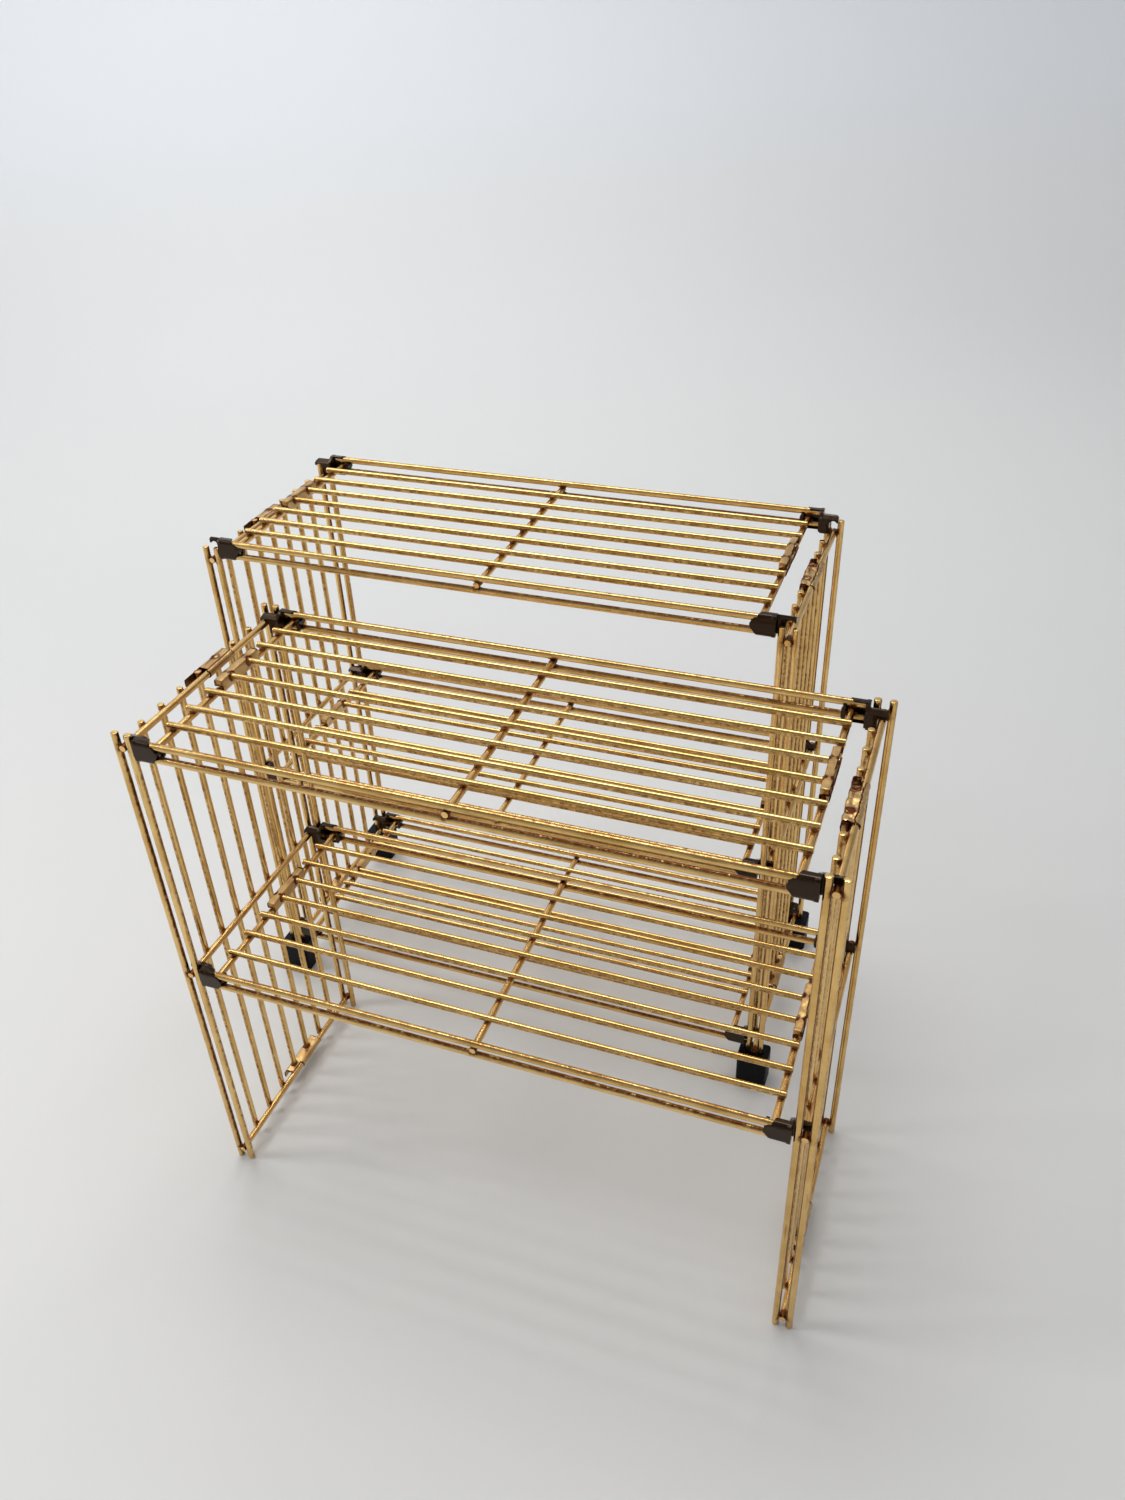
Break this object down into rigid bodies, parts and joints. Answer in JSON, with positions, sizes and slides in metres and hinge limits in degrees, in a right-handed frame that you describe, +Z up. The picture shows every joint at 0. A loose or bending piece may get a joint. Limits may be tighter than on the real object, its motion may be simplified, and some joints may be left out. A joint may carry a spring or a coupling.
{
  "type": "cooling rack",
  "caption": "Two brass wire racks that stand apart: slatted side panels and lift-off slatted shelves with dark corner clips; the rear rack stands on rubber feet.",
  "frame": {"origin": "on the floor, under the middle of the box round both racks", "axes": "+Z up; +X along the shelves, to the right when seen from the front rack's side; +Y from the front rack to the rear rack"},
  "size_m": [0.7618, 0.5706, 0.6427],
  "materials": {
    "brass_rod": "satin lacquered, darker in the grooves between rods",
    "brass_sheet": "satin, tarnished at the folds",
    "clip_plastic": "dark brown moulded, half gloss",
    "foot_rubber": "black, matt"
  },
  "bodies": {
    "rear_rack": {"rear_left_panel_grid": "brass_rod", "rear_left_panel_bottom_sleeve": "brass_sheet", "rear_left_panel_top_sleeve": "brass_sheet", "rear_right_panel_grid": "brass_rod", "rear_right_panel_bottom_sleeve": "brass_sheet", "rear_right_panel_top_sleeve": "brass_sheet", "rear_front_left_foot": "foot_rubber", "rear_front_right_foot": "foot_rubber", "rear_rear_left_foot": "foot_rubber", "rear_rear_right_foot": "foot_rubber"},
    "rear_bottom_shelf": {"rear_bottom_shelf_grid": "brass_rod", "rear_bottom_shelf_left_sleeve": "brass_sheet", "rear_bottom_shelf_right_sleeve": "brass_sheet", "rear_bottom_shelf_front_left_clip": "clip_plastic", "rear_bottom_shelf_front_right_clip": "clip_plastic", "rear_bottom_shelf_rear_left_clip": "clip_plastic", "rear_bottom_shelf_rear_right_clip": "clip_plastic"},
    "rear_middle_shelf": {"rear_middle_shelf_grid": "brass_rod", "rear_middle_shelf_left_sleeve": "brass_sheet", "rear_middle_shelf_right_sleeve": "brass_sheet", "rear_middle_shelf_front_left_clip": "clip_plastic", "rear_middle_shelf_front_right_clip": "clip_plastic", "rear_middle_shelf_rear_left_clip": "clip_plastic", "rear_middle_shelf_rear_right_clip": "clip_plastic"},
    "rear_top_shelf": {"rear_top_shelf_grid": "brass_rod", "rear_top_shelf_left_sleeve": "brass_sheet", "rear_top_shelf_right_sleeve": "brass_sheet", "rear_top_shelf_front_left_clip": "clip_plastic", "rear_top_shelf_front_right_clip": "clip_plastic", "rear_top_shelf_rear_left_clip": "clip_plastic", "rear_top_shelf_rear_right_clip": "clip_plastic"},
    "front_rack": {"front_left_panel_grid": "brass_rod", "front_left_panel_bottom_sleeve": "brass_sheet", "front_left_panel_top_sleeve": "brass_sheet", "front_right_panel_grid": "brass_rod", "front_right_panel_bottom_sleeve": "brass_sheet", "front_right_panel_top_sleeve": "brass_sheet"},
    "front_middle_shelf": {"front_middle_shelf_grid": "brass_rod", "front_middle_shelf_left_sleeve": "brass_sheet", "front_middle_shelf_right_sleeve": "brass_sheet", "front_middle_shelf_front_left_clip": "clip_plastic", "front_middle_shelf_front_right_clip": "clip_plastic", "front_middle_shelf_rear_left_clip": "clip_plastic", "front_middle_shelf_rear_right_clip": "clip_plastic"},
    "front_top_shelf": {"front_top_shelf_grid": "brass_rod", "front_top_shelf_left_sleeve": "brass_sheet", "front_top_shelf_right_sleeve": "brass_sheet", "front_top_shelf_front_left_clip": "clip_plastic", "front_top_shelf_front_right_clip": "clip_plastic", "front_top_shelf_rear_left_clip": "clip_plastic", "front_top_shelf_rear_right_clip": "clip_plastic"}
  },
  "joints": [
    {"name": "rear_bottom_shelf_lift", "type": "slide", "parent": "rear_rack", "child": "rear_bottom_shelf", "axis": [0, 0, 1], "range_m": [-0.008, 0.1]},
    {"name": "rear_middle_shelf_lift", "type": "slide", "parent": "rear_rack", "child": "rear_middle_shelf", "axis": [0, 0, 1], "range_m": [0, 0.1]},
    {"name": "rear_top_shelf_lift", "type": "slide", "parent": "rear_rack", "child": "rear_top_shelf", "axis": [0, 0, 1], "range_m": [-0.0147, 0.1]},
    {"name": "front_rack_pull_away", "type": "slide", "parent": "rear_rack", "child": "front_rack", "axis": [0, -1, 0], "range_m": [0, 0.3]},
    {"name": "front_middle_shelf_lift", "type": "slide", "parent": "front_rack", "child": "front_middle_shelf", "axis": [0, 0, 1], "range_m": [0, 0.1]},
    {"name": "front_top_shelf_lift", "type": "slide", "parent": "front_rack", "child": "front_top_shelf", "axis": [0, 0, 1], "range_m": [0, 0.1]}
  ]
}
